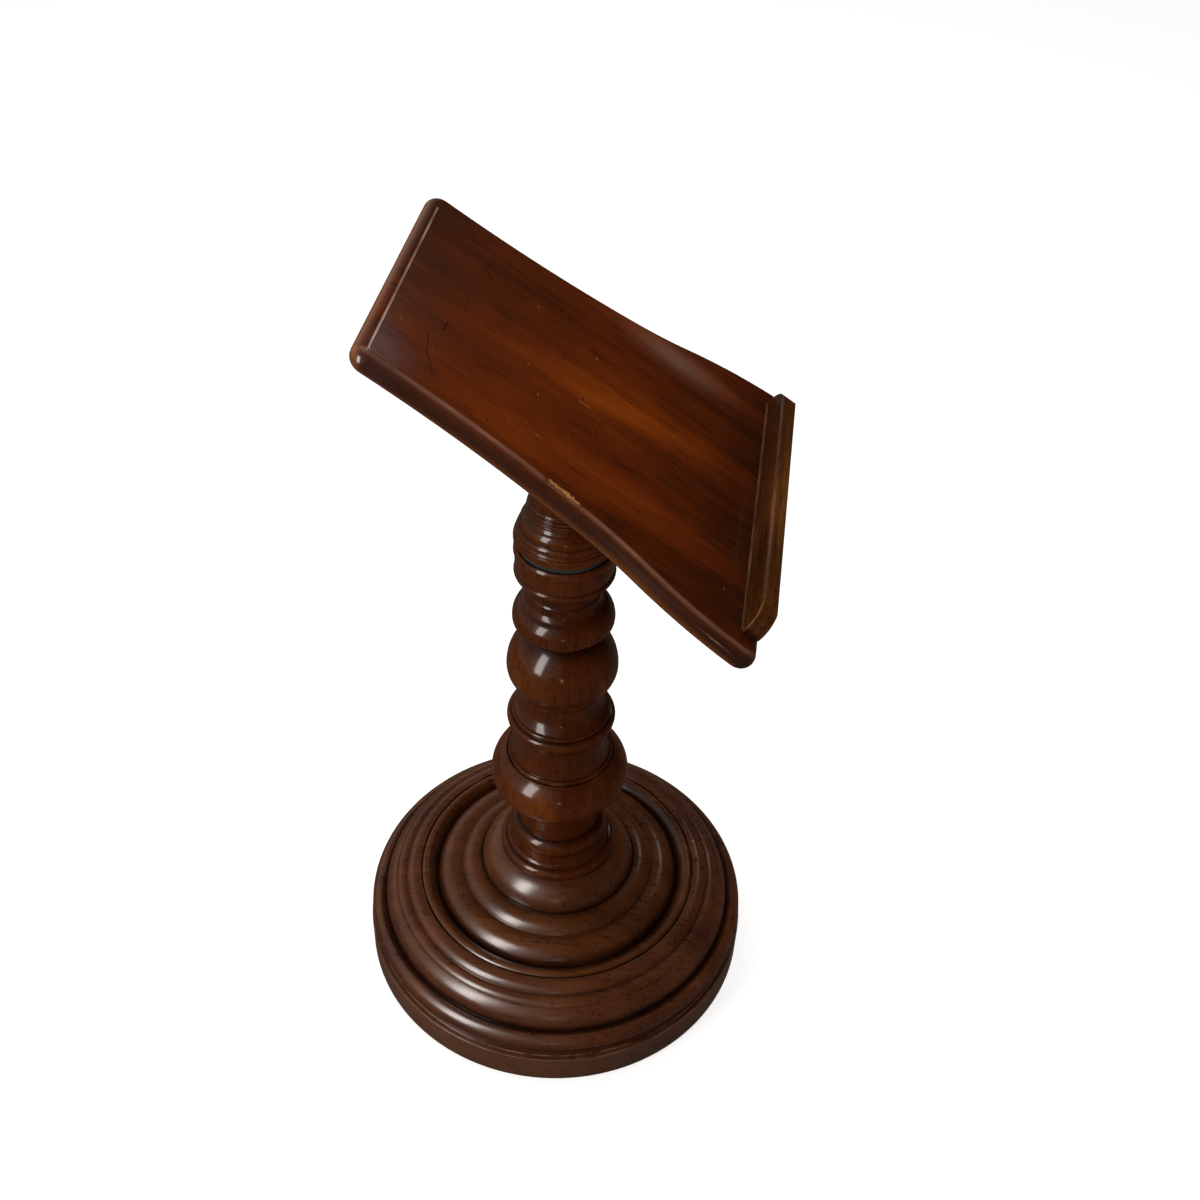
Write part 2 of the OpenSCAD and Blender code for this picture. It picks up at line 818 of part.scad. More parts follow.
felt_pad();
base_plinth();
base_moulding();
base_boss();
base_screws();
tie_rod();
tie_washer();
tie_nut();
rod_insert();
column_foot();
column_middle();
column_top();
swivel_bush();
swivel_washer();
spring_washer();
swivel_bolt();
head_insert();
head();
head_dowels();
board();
ledge();
ledge_screws();
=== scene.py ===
# %% [markdown]
# # A turned book stand, dressed for the camera
# The frame holds the exact solids of the stand: a moulded round base, a turned
# column and a sloping board with a ledge. This lesson gives them their
# polished wood, their light and the camera of the reference picture.

import math

import bmesh
import bpy
from mathutils import Euler, Matrix, Vector


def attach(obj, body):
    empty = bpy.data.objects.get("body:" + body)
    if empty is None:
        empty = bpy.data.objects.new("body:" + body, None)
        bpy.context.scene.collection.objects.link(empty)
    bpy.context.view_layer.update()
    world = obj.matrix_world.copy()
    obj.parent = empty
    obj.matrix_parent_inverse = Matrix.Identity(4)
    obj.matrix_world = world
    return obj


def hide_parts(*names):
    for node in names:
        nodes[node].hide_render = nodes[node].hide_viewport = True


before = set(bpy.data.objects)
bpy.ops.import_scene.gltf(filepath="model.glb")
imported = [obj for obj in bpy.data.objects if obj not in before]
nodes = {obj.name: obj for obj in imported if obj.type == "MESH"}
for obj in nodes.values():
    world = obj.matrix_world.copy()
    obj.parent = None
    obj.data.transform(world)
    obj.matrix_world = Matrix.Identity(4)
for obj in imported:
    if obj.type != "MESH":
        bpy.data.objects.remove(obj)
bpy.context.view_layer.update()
scene = bpy.context.scene
print("nodes:", sorted(nodes))

# %% [markdown]
# ## Camera
# The picture looks down on the stand from the side, with the ledge to the
# right. The place and the turn of the camera were worked out from the rings
# of the base and column, which are all circles round one upright axis.

# %% Place the camera
camera_data = bpy.data.cameras.new("camera")
camera_data.sensor_width = 36
camera_data.sensor_fit = "HORIZONTAL"
camera_data.lens = 44.23
camera = bpy.data.objects.new("camera", camera_data)
camera.location = (-0.53959, -0.08007, 0.7477)
camera.rotation_euler = Euler([math.radians(a) for a in (48.289, -2.035, -81.613)])
scene.collection.objects.link(camera)
scene.camera = camera
print("camera distance from the axis:", round(camera.location.xy.length, 4))

# %% [markdown]
# ## Small helpers
# A few short functions keep the cells below easy to read. One turns a bmesh
# into an object, one adds a shader node with its sockets set, one starts a
# material, and one lets a surface look different to the camera, to the gloss
# and to all other light.

# %% Helpers for objects and shaders


def mesh_object(name, shape):
    """Turns a bmesh into an object of the scene."""
    mesh = bpy.data.meshes.new(name)
    shape.to_mesh(mesh)
    shape.free()
    obj = bpy.data.objects.new(name, mesh)
    scene.collection.objects.link(obj)
    return obj


def node(tree, kind, **sockets):
    """Adds a shader node and sets the named sockets or properties."""
    n = tree.nodes.new(kind)
    for name, value in sockets.items():
        if hasattr(n, name):
            setattr(n, name, value)
        else:
            n.inputs[name.replace("_", " ")].default_value = value
    return n


def new_material(name):
    """An empty node material with its output."""
    m = bpy.data.materials.new(name)
    m.use_nodes = True
    m.node_tree.nodes.clear()
    out = m.node_tree.nodes.new("ShaderNodeOutputMaterial")
    return m, m.node_tree, out


def by_ray(tree, other, glossy, seen):
    """Shows one shader to the camera, one to the gloss and one to all other rays."""
    ray = node(tree, "ShaderNodeLightPath")
    shown = other.outputs[0]
    for kind, shader in (("Is Glossy Ray", glossy), ("Is Camera Ray", seen)):
        choice = node(tree, "ShaderNodeMixShader")
        tree.links.new(ray.outputs[kind], choice.inputs[0])
        tree.links.new(shown, choice.inputs[1])
        tree.links.new(shader.outputs[0], choice.inputs[2])
        shown = choice.outputs[0]
    return shown


# %% [markdown]
# ## Floor and world
# A plain pale sweep stands behind small objects in most studios. Here the
# floor is one large plane. What the camera sees of it is lifted to white by a
# little emission, while a soft trace of the object's shadow stays. Polished
# dark wood would turn milky over a floor that throws much light back, so the
# light that the floor returns is that of a mid-tone cloth, and what the gloss
# mirrors of it is darker still: the beads of the picture mirror a dark table.

# %% Make the floor
FLOOR_SIZE = 8.0
shape = bmesh.new()
bmesh.ops.create_grid(shape, x_segments=1, y_segments=1, size=FLOOR_SIZE / 2)
floor = mesh_object("floor", shape)
floor_paint, tree, out = new_material("floor_paint")
seen = node(tree, "ShaderNodeBsdfDiffuse", Color=(0.34, 0.34, 0.34, 1))
lift = node(tree, "ShaderNodeEmission", Color=(1, 1, 1, 1), Strength=0.8)
both = node(tree, "ShaderNodeAddShader")
unseen = node(tree, "ShaderNodeBsdfDiffuse", Color=(0.46, 0.37, 0.3, 1))
mirrored = node(tree, "ShaderNodeEmission", Color=(0.06, 0.05, 0.043, 1), Strength=1.0)
tree.links.new(seen.outputs[0], both.inputs[0])
tree.links.new(lift.outputs[0], both.inputs[1])
tree.links.new(by_ray(tree, unseen, mirrored, both), out.inputs["Surface"])
floor.data.materials.append(floor_paint)
print("floor:", FLOOR_SIZE, "m square")

# %% [markdown]
# The world gives the object a weak, even light from all sides. A dark polish
# mirrors its room, and the room of the picture was dim beyond its window. So
# the gloss sees a nearly dark world with soft glows: the walls on both sides of
# the window on the left, and a paler corner beyond the stand. The camera sees
# the world as white.

# %% Two helpers for shader arithmetic


def maths(tree, kind, a, b=0.0, clamp=False):
    """One step of arithmetic on sockets or numbers."""
    n = node(tree, "ShaderNodeMath", operation=kind, use_clamp=clamp)
    for i, value in ((0, a), (1, b)):
        if hasattr(value, "is_linked"):
            tree.links.new(value, n.inputs[i])
        else:
            n.inputs[i].default_value = value
    return n.outputs[0]


def mapped(tree, value, low, high, at_low, at_high, kind="LINEAR"):
    """Maps the stretch from low to high onto another, and stops at its ends."""
    n = node(tree, "ShaderNodeMapRange", interpolation_type=kind)
    for socket, number in zip(("From Min", "From Max", "To Min", "To Max"),
                              (low, high, at_low, at_high)):
        n.inputs[socket].default_value = number
    tree.links.new(value, n.inputs["Value"])
    return n.outputs[0]


# %% [markdown]
# Each glow is a direction, the cosine of the angle to it where the glow starts,
# the cosine where it is full, and its strength there.

# %% Make the world
GLOWS = ((96, 15, 0.6, 0.95, 0.3), (150, 28, 0.75, 0.98, 0.3), (30, 6, 0.75, 0.98, 0.25))
DARKNESS = 0.003
world = bpy.data.worlds.new("world")
world.use_nodes = True
scene.world = world
tree = world.node_tree
tree.nodes.clear()
grey = node(tree, "ShaderNodeBackground", Color=(1, 0.94, 0.88, 1), Strength=0.18)
dim = node(tree, "ShaderNodeBackground", Color=(1, 0.93, 0.87, 1))
white = node(tree, "ShaderNodeBackground", Color=(1, 1, 1, 1), Strength=1.0)
world_out = node(tree, "ShaderNodeOutputWorld")
outlook = node(tree, "ShaderNodeTexCoord").outputs["Generated"]
strength = 0.0
for azimuth, elevation, start, full, peak in GLOWS:
    a, e = math.radians(azimuth), math.radians(elevation)
    towards = node(tree, "ShaderNodeVectorMath", operation="DOT_PRODUCT")
    towards.inputs[1].default_value = (math.cos(a) * math.cos(e),
                                       math.sin(a) * math.cos(e), math.sin(e))
    tree.links.new(outlook, towards.inputs[0])
    glow = mapped(tree, towards.outputs["Value"], start, full, DARKNESS, peak, "SMOOTHSTEP")
    strength = maths(tree, "ADD", strength, glow)
tree.links.new(strength, dim.inputs["Strength"])
tree.links.new(by_ray(tree, grey, dim, white), world_out.inputs["Surface"])
scene.view_settings.view_transform = "Standard"
print("world strength:", grey.inputs["Strength"].default_value, "glows:", len(GLOWS))

# %% [markdown]
# ## Lamps
# The bright arcs on the rings and beads all lie towards one tall window on the
# left of the camera, which is also the main light. A lamp overhead, a little
# behind, lights the board and lets it shade the front of the base. Its outline
# would show as a hard patch on every bead, so the gloss doesn't mirror it. A
# small lamp near the camera's own direction gives the sparks in the middle of
# the beads, and one behind gives the sheen on the rings behind the column. A
# weak one on the right stands for the warm light that the wall there gives back.
# A lamp is given by its azimuth, height and distance, its two sides, its watts
# and its colour.

# %% Place the lamps


def lamp(name, azimuth, height, distance, size_x, size_y, watts, colour, aim=0.2,
         mirrored=True):
    """A soft rectangular lamp at an azimuth round the axis, aimed at it."""
    data = bpy.data.lights.new(name, "AREA")
    data.shape = "RECTANGLE"
    data.size = size_x
    data.size_y = size_y
    data.energy = watts
    data.color = colour
    a = math.radians(azimuth)
    place = Vector((math.cos(a) * distance, math.sin(a) * distance, height))
    look = Vector((0, 0, aim)) - place
    obj = bpy.data.objects.new(name, data)
    obj.location = place
    obj.rotation_euler = look.to_track_quat("-Z", "Y").to_euler()
    obj.visible_glossy = mirrored
    scene.collection.objects.link(obj)
    print(name, "radiance:", round(watts / (math.pi * size_x * size_y), 2))


lamp("window", 139, 0.9, 1.5, 0.46, 1.2, 20, (1, 0.95, 0.9))
lamp("small_lamp", 188.5, 0.35, 1.5, 0.1, 0.14, 0.25, (1, 0.84, 0.66))
lamp("overhead", 20, 2.0, 0.45, 1.3, 1.3, 31, (1, 0.95, 0.88), aim=0.3, mirrored=False)
lamp("behind", 338, 1.25, 1.3, 0.16, 0.12, 0.4, (1, 0.98, 0.96), aim=0.4)
lamp("wall", 262, 0.25, 1.5, 0.6, 0.5, 3.2, (1, 0.86, 0.72), mirrored=False)

# %% [markdown]
# ## Smooth turning
# The frame's solids come as loose triangles. A turned face is smooth on the
# real stand, and breaks only at the crisp rings where one curve of the profile
# meets the next. A plain auto-smooth angle can't tell such a ring from a facet,
# so a small geometry group merges the triangles and asks each edge two things:
# does it lie level, as a ring does, and how far does the face turn there?

# %% Shade the frame smooth
RING_ANGLE = math.radians(9)
EDGE_ANGLE = math.radians(40)
SHAPED_ANGLE = math.radians(22)
MERGE = 0.000002
LEVEL = 0.000003
TURNED = ("base_plinth", "base_moulding", "base_boss", "column_foot", "column_middle",
          "column_top", "head")


def smooth_group(name, edge_angle, ring_angle):
    """A geometry group that merges points and keeps crisp edges sharp."""
    g = bpy.data.node_groups.new(name, "GeometryNodeTree")
    g.interface.new_socket("Geometry", in_out="INPUT", socket_type="NodeSocketGeometry")
    g.interface.new_socket("Geometry", in_out="OUTPUT", socket_type="NodeSocketGeometry")
    start = g.nodes.new("NodeGroupInput")
    end = g.nodes.new("NodeGroupOutput")
    merge = g.nodes.new("GeometryNodeMergeByDistance")
    merge.inputs["Distance"].default_value = MERGE
    ends = g.nodes.new("GeometryNodeInputMeshEdgeVertices")
    rise = g.nodes.new("ShaderNodeVectorMath")
    rise.operation = "SUBTRACT"
    split = g.nodes.new("ShaderNodeSeparateXYZ")
    level = g.nodes.new("FunctionNodeCompare")
    level.operation = "EQUAL"
    level.inputs["Epsilon"].default_value = LEVEL
    limit = g.nodes.new("GeometryNodeSwitch")
    limit.input_type = "FLOAT"
    limit.inputs["False"].default_value = edge_angle
    limit.inputs["True"].default_value = ring_angle
    angle = g.nodes.new("GeometryNodeInputMeshEdgeAngle")
    test = g.nodes.new("FunctionNodeCompare")
    test.operation = "LESS_THAN"
    faces = g.nodes.new("GeometryNodeSetShadeSmooth")
    edges = g.nodes.new("GeometryNodeSetShadeSmooth")
    edges.domain = "EDGE"
    g.links.new(start.outputs[0], merge.inputs["Geometry"])
    g.links.new(merge.outputs[0], faces.inputs["Geometry"])
    g.links.new(faces.outputs[0], edges.inputs["Geometry"])
    g.links.new(ends.outputs["Position 1"], rise.inputs[0])
    g.links.new(ends.outputs["Position 2"], rise.inputs[1])
    g.links.new(rise.outputs[0], split.inputs[0])
    g.links.new(split.outputs["Z"], level.inputs["A"])
    g.links.new(level.outputs[0], limit.inputs["Switch"])
    g.links.new(angle.outputs["Unsigned Angle"], test.inputs["A"])
    g.links.new(limit.outputs[0], test.inputs["B"])
    g.links.new(test.outputs[0], edges.inputs["Shade Smooth"])
    g.links.new(edges.outputs[0], end.inputs[0])
    return g


turning = smooth_group("smooth_turning", EDGE_ANGLE, RING_ANGLE)
shaping = smooth_group("smooth_shaping", SHAPED_ANGLE, SHAPED_ANGLE)
for name, obj in nodes.items():
    obj.modifiers.new("smooth", "NODES").node_group = turning if name in TURNED else shaping
print("smoothed:", len(nodes))

# %% [markdown]
# ## Stained and polished wood
# The wood is a plain, even hardwood under a red-brown stain. Long fibres take the stain in
# streaks and dark glaze is left in every crease. The hollows are darkened with painted shade
# and old wax, and the crisp edges are lightened partly as wear and partly as painted highlight.
# On top lies a clear polish that gives the bright lines. The finish could be one flat brown,
# but it is the mix of streaks, glaze, painted shade and light edges that tells old polished
# wood from plastic.
# First come small helpers for colours and grain.

# %% Helpers for colours and grain


def mix(tree, a, b, factor, kind="MIX"):
    """Mixes two colours; each input may be a socket or a plain value."""
    n = node(tree, "ShaderNodeMix", data_type="RGBA", blend_type=kind)
    for socket, value in ((0, factor), (6, a), (7, b)):
        if hasattr(value, "is_linked"):
            tree.links.new(value, n.inputs[socket])
        else:
            n.inputs[socket].default_value = value
    return n.outputs[2]


def ramp(tree, value, stops):
    """Maps a value through colour stops [(position, grey or colour)]."""
    n = node(tree, "ShaderNodeValToRGB")
    e = n.color_ramp.elements
    while len(e) < len(stops):
        e.new(0.5)
    for element, (position, colour) in zip(e, stops):
        element.position = position
        element.color = colour if hasattr(colour, "__len__") else (colour,) * 3 + (1,)
    tree.links.new(value, n.inputs[0])
    return n.outputs[0]


def noise(tree, where, scale, detail=4, rough=0.6, warp=0.0):
    """Noise on coordinates from a socket."""
    n = node(tree, "ShaderNodeTexNoise", Scale=scale, Detail=detail,
             Roughness=rough, Distortion=warp)
    tree.links.new(where, n.inputs["Vector"])
    return n.outputs["Fac"]


def placed(tree, where, location=(0, 0, 0), rotation=(0, 0, 0), scale=(1, 1, 1),
           kind="POINT"):
    """Coordinates moved, turned or stretched by a Mapping node."""
    n = node(tree, "ShaderNodeMapping", vector_type=kind, Location=location,
             Rotation=rotation, Scale=scale)
    tree.links.new(where, n.inputs["Vector"])
    return n.outputs[0]


def srgb(r, g, b):
    """A colour as the eye reads it, 0 to 255, made linear for the shader."""
    lin = [(c / 255 / 12.92) if c < 11 else ((c / 255 + 0.055) / 1.055) ** 2.4
           for c in (r, g, b)]
    return (*lin, 1)


print("mid brown:", [round(c, 4) for c in srgb(82, 34, 8)])

# %% [markdown]
# ## The stain
# A stained plank is light where the fibres run cleanly and dark where they
# rise to the face. The tone is built as one number, 0 for dark to 1 for light,
# from wide clouds, long streaks, a fine grit and short dark pores, and a colour
# ramp turns it into brown. Coordinates squeezed along the fibres make the noise
# long and thin in that direction.

# %% A helper for the tone of the wood


def wood_tone(tree, coords, fibre, contrast=1.0):
    """A number near 0.5 that wanders as stained fibres do."""
    fibres = placed(tree, coords, scale=fibre)
    wide = noise(tree, fibres, 22, 3, 0.5, 0.6)
    fine = noise(tree, fibres, 150, 5, 0.6, 0.3)
    cloud = noise(tree, coords, 16, 4, 0.55)
    grit = noise(tree, coords, 900, 2, 0.6)
    total = 0.5
    for part, share in ((wide, 0.75), (fine, 0.5), (cloud, 0.5), (grit, 0.35)):
        total = maths(tree, "ADD", total,
                      maths(tree, "MULTIPLY", maths(tree, "SUBTRACT", part, 0.5),
                            share * contrast))
    pores = ramp(tree, noise(tree, fibres, 700, 2, 0.5), [(0.56, 0.0), (0.68, 1.0)])
    return maths(tree, "SUBTRACT", total, maths(tree, "MULTIPLY", pores, 0.2))


# %% [markdown]
# ## The finish on top of the stain
# Ambient occlusion finds the creases: a wide reach darkens the hollows between the beads with
# painted shade, partly old wax, and a narrow one draws the fine dark joint lines of glaze. The
# same node turned inside finds the crisp outer edges and lightens them, partly where hands and
# dusters have rubbed the stain away and partly as painted highlight. Each has a share that says
# how strongly it shows, and a noise makes the light edges patchy.

# %% A helper for wax and painted shade, glaze, and edges lightened by wear and painted highlight
# The wide reach and its tint paint shade into the hollows, partly as old wax; the last share
# lightens the crisp edges as wear and painted highlight.
WAX_SHADE_REACH = 0.045
CREASE_REACH = 0.0012
WAX_SHADE_TINT = (0.2, 0.13, 0.07, 1)
GLAZED = 0.25
RUBBED_AND_GLINT = 0.75


def occluded(tree, reach, stops, inside=False):
    """A ramp of how enclosed a point is, seen from outside or from inside."""
    n = node(tree, "ShaderNodeAmbientOcclusion", samples=6, inside=inside, Distance=reach)
    return ramp(tree, n.outputs["AO"], stops)


def aged_with_painted_light(tree, coords, colour, glaze, worn_and_glint, wax_and_shade):
    """Painted shade and wax in the hollows, glaze in the creases, and wear with painted
    highlight on the crisp edges.
    """
    # Painted shade: the hollows darkened towards a brown tint, partly old wax.
    wax_shade_mask = occluded(tree, WAX_SHADE_REACH, [(0.6, 1.0), (0.97, 0.0)])
    colour = mix(tree, colour, WAX_SHADE_TINT, maths(tree, "MULTIPLY", wax_shade_mask, wax_and_shade), "MULTIPLY")
    crease = occluded(tree, CREASE_REACH, [(0.3, 1.0), (0.75, 0.0)])
    colour = mix(tree, colour, glaze, maths(tree, "MULTIPLY", crease, GLAZED))
    # Painted highlight and wear: the crisp edges lightened towards the worn colour.
    edge = occluded(tree, CREASE_REACH, [(0.6, 1.0), (0.85, 0.0)], inside=True)
    patchy = ramp(tree, noise(tree, coords, 70, 3, 0.6), [(0.42, 0.05), (0.62, 1.0)])
    edge = maths(tree, "MULTIPLY", edge, patchy)
    return mix(tree, colour, worn_and_glint, maths(tree, "MULTIPLY", edge, RUBBED_AND_GLINT))


# %% [markdown]
# The Bevel node rounds the shading of the crisp edges, so that each catches a
# thin line of light, as a sanded edge does. The polish is the coat of the
# shader. Its bump is a slow wave, because brushed varnish lies a little uneven,
# while the wood below it has the grain. A larger coat IOR, the shine here,
# mirrors more.

# %% A helper for polished wood
EDGE_ROUND = 0.0005
SPECKS = 0.6


def bumped(tree, height, distance, base):
    """A weak bump by a height, on top of the rounded edges."""
    n = node(tree, "ShaderNodeBump", Strength=0.1, Distance=distance)
    tree.links.new(height, n.inputs["Height"])
    tree.links.new(base, n.inputs["Normal"])
    return n.outputs[0]


def polished_wood(name, dark, mid, light, glaze, worn_and_glint, tone_maker, place=None,
                  polish=0.14, wax_and_shade=0.8, shine=1.52, marks=None):
    """Stained wood under a clear polish; tone_maker builds the figure."""
    m, tree, out = new_material(name)
    coords = node(tree, "ShaderNodeTexCoord").outputs["Object"]
    if place:
        coords = placed(tree, coords, *place, kind="TEXTURE")
    tone = tone_maker(tree, coords)
    colour = ramp(tree, tone, [(0.18, dark), (0.5, mid), (0.82, light)])
    speck = ramp(tree, noise(tree, coords, 330, 1, 0.4), [(0.71, 0.0), (0.75, 1.0)])
    colour = mix(tree, colour, glaze, maths(tree, "MULTIPLY", speck, SPECKS))
    if marks:
        colour = marks(tree, coords, colour)
    # Painted shade in the hollows and painted highlight with wear on the crisp edges.
    colour = aged_with_painted_light(tree, coords, colour, glaze, worn_and_glint, wax_and_shade)

    rounded = node(tree, "ShaderNodeBevel", samples=4, Radius=EDGE_ROUND).outputs[0]
    grain = bumped(tree, tone, 0.0002, rounded)
    wave = bumped(tree, noise(tree, coords, 45, 2, 0.5), 0.001, rounded)
    shader = node(tree, "ShaderNodeBsdfPrincipled", Roughness=0.42, IOR=1.4,
                  Coat_Weight=1.0, Coat_Roughness=polish, Coat_IOR=shine)
    shader.inputs["Specular IOR Level"].default_value = 0.1
    tree.links.new(colour, shader.inputs["Base Color"])
    tree.links.new(grain, shader.inputs["Normal"])
    tree.links.new(wave, shader.inputs["Coat Normal"])
    tree.links.new(shader.outputs[0], out.inputs["Surface"])
    return m


# %% [markdown]
# The column is turned with its fibres upright, while the discs of the base are
# sawn from planks that lie flat.

# %% Mix the column's and the base's wood


def upright(tree, coords):
    """Fibres that run up the column."""
    return wood_tone(tree, coords, (1, 1, 0.07), 1.0)


def flat_sawn(tree, coords):
    """Fibres that lie flat, across the base."""
    return wood_tone(tree, placed(tree, coords, (0.03, 0.1, 0.02)), (1, 0.1, 1), 0.9)


GLAZE = srgb(20, 7, 3)
# The fifth colour of each wood is what its crisp edges are lightened to, as wear and painted
# highlight.
column_wood = polished_wood("column_wood", srgb(48, 19, 3), srgb(76, 34, 6),
                            srgb(108, 56, 14), GLAZE, srgb(150, 92, 50), upright,
                            polish=0.13, shine=1.38, wax_and_shade=1.0)
boss_wood = polished_wood("boss_wood", srgb(50, 23, 5), srgb(78, 40, 12),
                          srgb(106, 60, 22), GLAZE, srgb(150, 96, 58), flat_sawn,
                          polish=0.26, shine=1.7)
moulding_wood = polished_wood("moulding_wood", srgb(46, 19, 7), srgb(76, 39, 18),
                              srgb(102, 58, 30), GLAZE, srgb(160, 108, 72), flat_sawn,
                              polish=0.26, shine=1.7)
# The plinth is lighter and pinker than the moulding: partly dust, partly a painted sheen of the
# pale floor it faces.
plinth_dust_and_sheen_wood = polished_wood("plinth_dust_and_sheen_wood", srgb(74, 42, 27), srgb(102, 66, 46),
                            srgb(122, 80, 58), GLAZE, srgb(150, 106, 78), flat_sawn,
                            polish=0.3, wax_and_shade=0.5)

# %% [markdown]
# ## The board's figure
# The board shows two amber streaks down the slope, a fainter one beside them
# and a darker band between, and grows darker towards its ends and sides. Its
# coordinates are turned with the slope, so x runs across the board and y up it.
# The streaks could be left to chance, but a reader of the board would see the
# same two each time, so they are placed, and noise only roughens them. Each
# streak is its lean, its centre and width across, and how much lighter it is.

# %% Build the board's figure
TILT = math.radians(33.2)
BOARD_HEIGHT = 0.3906
BOARD_PLACE = ((0, 0, BOARD_HEIGHT), (TILT, 0, 0))
STREAKS = ((0, -0.056, 0.010, 0.24), (0.15, 0.0, 0.009, 0.28), (0, 0.022, 0.012, 0.10),
           (0, -0.03, 0.010, -0.08))


def hump(tree, value, centre, width):
    """A smooth bump that is 1 at the centre and fades over the width."""
    off = maths(tree, "DIVIDE", maths(tree, "SUBTRACT", value, centre), width)
    return maths(tree, "EXPONENT", maths(tree, "MULTIPLY", maths(tree, "MULTIPLY", off, off),
                                         -1.0))


def board_tone(tree, coords):
    """Amber streaks down the slope in dark, even wood."""
    split = node(tree, "ShaderNodeSeparateXYZ")
    tree.links.new(coords, split.inputs[0])
    x, y = split.outputs[0], split.outputs[1]
    sway = maths(tree, "MULTIPLY",
                 maths(tree, "SUBTRACT", noise(tree, coords, 24, 2, 0.5), 0.5), 0.02)
    x = maths(tree, "ADD", x, sway)
    tone = wood_tone(tree, coords, (1, 0.06, 1), 0.95)
    reach = hump(tree, y, -0.02, 0.085)
    for lean, centre, width, share in STREAKS:
        across = maths(tree, "ADD", x, maths(tree, "MULTIPLY", y, lean))
        streak = maths(tree, "MULTIPLY", hump(tree, across, centre, width), reach)
        tone = maths(tree, "ADD", tone, maths(tree, "MULTIPLY", streak, share))
    ends = hump(tree, y, -0.01, 0.085)
    sides = hump(tree, x, -0.004, 0.082)
    middle = maths(tree, "MULTIPLY", ends, sides)
    shade = maths(tree, "MULTIPLY", maths(tree, "SUBTRACT", middle, 1.0), 0.3)
    return maths(tree, "ADD", tone, shade)


# %% [markdown]
# ## Marks of use
# A board that has carried books for years has its own marks: dark specks under the polish, fine
# scratches, small light nicks and a chip on the near side that shows bare wood. A pale line of
# dust and painted highlight runs along the foot of the ledge, a pale painted highlight runs
# along the upper border, and the near edge has a painted sheen, partly a dull bloom where hands
# have held it. Each mark but the specks and the sheen is a stroke between two points of the
# board: where it starts, where it ends and how wide it is, in millimetres across and up the
# slope. They could be painted on an image, but strokes stay sharp at any size and read from one
# short table.

# %% List the scratches and nicks
STROKES = {
    "dark": [(-23.5, 59.7, -16.5, 59.2, 0.45), (33, 48.5, 36, 54.7, 0.4),
             (-52.7, 57.2, -43, 62.4, 0.3), (-43, 62.4, -31.5, 64.7, 0.3),
             (31, 17, 38.5, 7, 0.2), (38.5, 7, 47, 9.7, 0.2),
             (-38.5, -22.8, -20, -17.8, 0.2), (-2, 54, -1.6, 54.2, 0.5),
             (5.2, 54.7, 5.6, 54.5, 0.5), (-6, 64, -5.8, 64.6, 0.5), (-8, 72, -7.7, 71.6, 0.4),
             (-29, -16, -28.6, -16.2, 0.5), (-7.2, -8.5, -6.8, -8.3, 0.55),
             (-9, -23, -8.6, -23.1, 0.5), (-2.7, -39.3, -2.3, -39.6, 0.5),
             (-14, -60, -13.6, -60.2, 0.55), (0, -64.5, 0.5, -64.6, 0.5),
             (12, -55, 12.3, -54.6, 0.45), (15, -47, 15.4, -47.2, 0.5),
             (-17, -86.5, -16.6, -86.2, 0.5), (33, -92, 33.4, -92.2, 0.5),
             (39.7, -37, 40, -37.3, 0.5), (1, 23, 1.3, 23.3, 0.5), (11, 6, 11.4, 5.8, 0.5)],
    "light": [(35, 24, 35.6, 24.4, 0.4), (26.5, -9.8, 27.3, -9.5, 0.5),
              (-10, -13, -10, -7, 0.25), (-24, 11.7, -23.2, 12, 0.35),
              (-49.5, 6.7, -48.8, 6.4, 0.35), (-67.7, -93.5, -66.9, -93.2, 0.45),
              (-34, 77, -33.4, 77.2, 0.35), (-9, 20, -8.5, 20.4, 0.35)],
}
STROKE_TINTS = {"dark": (srgb(22, 5, 2), 0.9), "light": (srgb(176, 124, 74), 0.5)}
CHIP = (((-70.4, -3, -72.6, -20, 2.2), srgb(70, 26, 8), 0.6),
        ((-70.6, -5, -72.8, -19, 0.9), srgb(170, 120, 70), 0.8))
# Pale lines: dust with a painted highlight at the ledge foot, and a painted highlight along the
# upper border.
LEDGE_DUST_AND_GLINT = (-84, -104.6, 84, -104.6, 0.5)
PAINTED_BORDER_HIGHLIGHT = (-64, 83.9, 56, 83.9, 0.6)
print("strokes:", {kind: len(lines) for kind, lines in STROKES.items()})

# %% [markdown]
# A point is on a stroke when it is near the closest point of the line between
# the stroke's ends. The shader finds that point with a dot product, and fades
# the mark out over its rim, so that it never shows steps.

# %% A helper for one stroke
MM = 0.001


def stroke(tree, coords, x0, y0, x1, y1, width):
    """1 on the line between two points of the board, 0 beyond the width."""
    start = Vector((x0, y0, 0)) * MM
    along = Vector((x1, y1, 0)) * MM - start
    half = width * MM / 1.4

    def step(kind, a, b=None, scale=None):
        """One step of vector arithmetic."""
        n = node(tree, "ShaderNodeVectorMath", operation=kind)
        tree.links.new(a, n.inputs[0])
        if hasattr(b, "is_linked"):
            tree.links.new(b, n.inputs[1])
        elif b is not None:
            n.inputs[1].default_value = b
        if scale is not None:
            tree.links.new(scale, n.inputs["Scale"])
        return n

    place = step("SUBTRACT", coords, start)
    share = maths(tree, "DIVIDE", step("DOT_PRODUCT", place.outputs[0], along).outputs["Value"],
                  along.length_squared, clamp=True)
    whole = node(tree, "ShaderNodeCombineXYZ", X=along.x, Y=along.y)
    foot = step("SCALE", whole.outputs[0], scale=share)
    off = step("LENGTH", step("SUBTRACT", place.outputs[0], foot.outputs[0]).outputs[0])
    return mapped(tree, off.outputs["Value"], half * 0.5, half * 1.5, 1.0, 0.0)


